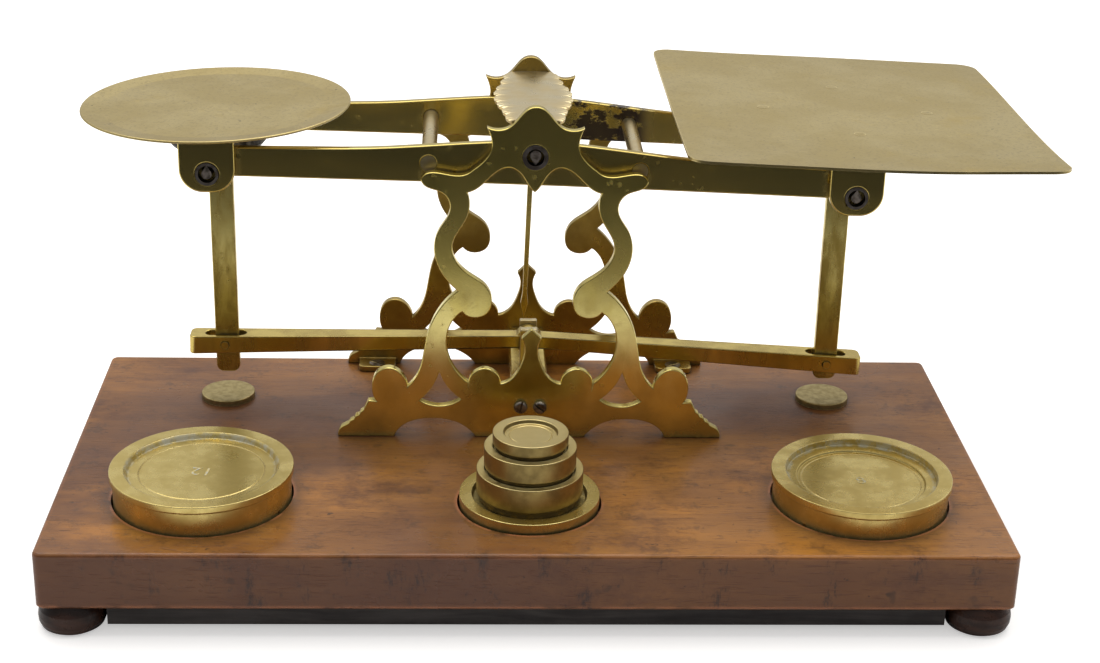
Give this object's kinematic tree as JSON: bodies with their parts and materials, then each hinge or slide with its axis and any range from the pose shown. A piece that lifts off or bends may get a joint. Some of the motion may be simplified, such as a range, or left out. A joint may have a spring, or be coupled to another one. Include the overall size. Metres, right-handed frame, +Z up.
{
  "type": "letter scale",
  "caption": "Table letter scale: rocking beam on knife edges carries a round weight pan and a flat letter plate above a wooden base with recessed brass weights.",
  "frame": {"origin": "middle of the whole scale's footprint, on the surface that its feet stand on", "axes": "+X towards the letter plate, +Y to the back of the base, +Z up"},
  "size_m": [0.3226, 0.188, 0.1471],
  "materials": {
    "mahogany": "old French polish, worn",
    "black_wood": "blackened, dull",
    "dark_wood": "dark stained, turned",
    "steel": "dark blued, worn",
    "lead": "dull grey lead",
    "weight_brass": "turned and polished",
    "sheet_brass": "satin, lightly tarnished",
    "frame_brass": "old lacquered casting",
    "bar_brass": "dark lacquered bar"
  },
  "bodies": {
    "base": {"base_board": "mahogany", "plinth_panel": "black_wood", "foot_front_left": "dark_wood", "foot_front_right": "dark_wood", "foot_rear_left": "dark_wood", "foot_rear_right": "dark_wood", "stop_disc_left": "bar_brass", "stop_disc_right": "bar_brass", "bridge_bar": "bar_brass", "stay_fork": "bar_brass", "stay_pivot_pin": "bar_brass", "top_plate": "sheet_brass", "front_frame": "frame_brass", "rear_frame": "frame_brass", "front_frame_bush": "steel", "rear_frame_bush": "steel", "wood_screw_front_left": "steel", "wood_screw_front_right": "steel", "wood_screw_rear_left": "steel", "wood_screw_rear_right": "steel", "frame_screw_front_left": "steel", "frame_screw_front_right": "steel", "frame_screw_rear_left": "steel", "frame_screw_rear_right": "steel"},
    "beam": {"middle_knife": "steel", "pointer": "bar_brass", "beam_front_bar": "bar_brass", "beam_rear_bar": "bar_brass", "spacer_rod_left": "bar_brass", "spacer_rod_right": "bar_brass", "end_knife_left_front": "steel", "end_knife_right_front": "steel", "end_knife_left_rear": "steel", "end_knife_right_rear": "steel"},
    "stay_bar": {"stay": "bar_brass"},
    "weight_side": {"weight_bracket": "bar_brass", "weight_stem": "bar_brass", "weight_stem_pin": "bar_brass", "weight_bush_front": "steel", "weight_bush_rear": "steel", "balance_weight": "lead", "weight_pan": "sheet_brass", "weight_pan_seat": "bar_brass"},
    "letter_side": {"letter_bracket": "bar_brass", "letter_stem": "bar_brass", "letter_stem_pin": "bar_brass", "letter_bush_front": "steel", "letter_bush_rear": "steel", "letter_plate": "sheet_brass", "letter_spider": "bar_brass", "letter_rivet_1": "sheet_brass", "letter_rivet_2": "sheet_brass", "letter_rivet_3": "sheet_brass", "letter_rivet_4": "sheet_brass"},
    "twelve_ounce": {"weight_12_oz": "weight_brass"},
    "eight_ounce": {"weight_8_oz": "weight_brass"},
    "four_ounce": {"weight_4_oz": "weight_brass"},
    "two_ounce": {"weight_2_oz": "weight_brass"},
    "one_ounce": {"weight_1_oz": "weight_brass"},
    "half_ounce": {"weight_half_oz": "weight_brass"}
  },
  "joints": [
    {"name": "beam_rock", "type": "hinge", "parent": "base", "child": "beam", "pos_m": [-0.00606, 0.02405, 0.1272], "axis": [0, 1, 0], "range_deg": [-4.2, 3.45]},
    {"name": "stay_rock", "type": "hinge", "parent": "base", "child": "stay_bar", "pos_m": [-0.00606, 0.02405, 0.052], "axis": [0, 1, 0], "range_deg": [-4.2, 3.45]},
    {"name": "weight_pan_swing", "type": "hinge", "parent": "beam", "child": "weight_side", "pos_m": [-0.11314, 0.02405, 0.12574], "axis": [0, 1, 0], "range_deg": [-3.45, 4.2]},
    {"name": "letter_pan_swing", "type": "hinge", "parent": "beam", "child": "letter_side", "pos_m": [0.10078, 0.02405, 0.11976], "axis": [0, 1, 0], "range_deg": [-3.45, 4.2]},
    {"name": "lift_twelve_ounce", "type": "slide", "parent": "base", "child": "twelve_ounce", "axis": [0, 0, 1], "range_m": [0, 0.04]},
    {"name": "lift_eight_ounce", "type": "slide", "parent": "base", "child": "eight_ounce", "axis": [0, 0, 1], "range_m": [0, 0.04]},
    {"name": "lift_four_ounce", "type": "slide", "parent": "base", "child": "four_ounce", "axis": [0, 0, 1], "range_m": [0, 0.03]},
    {"name": "lift_two_ounce", "type": "slide", "parent": "four_ounce", "child": "two_ounce", "axis": [0, 0, 1], "range_m": [0, 0.025]},
    {"name": "lift_one_ounce", "type": "slide", "parent": "two_ounce", "child": "one_ounce", "axis": [0, 0, 1], "range_m": [0, 0.025]},
    {"name": "lift_half_ounce", "type": "slide", "parent": "one_ounce", "child": "half_ounce", "axis": [0, 0, 1], "range_m": [0, 0.025]}
  ],
  "couplings": [
    {"joint": "stay_rock", "follows": "beam_rock", "ratio": 1},
    {"joint": "weight_pan_swing", "follows": "beam_rock", "ratio": -1},
    {"joint": "letter_pan_swing", "follows": "beam_rock", "ratio": -1}
  ]
}
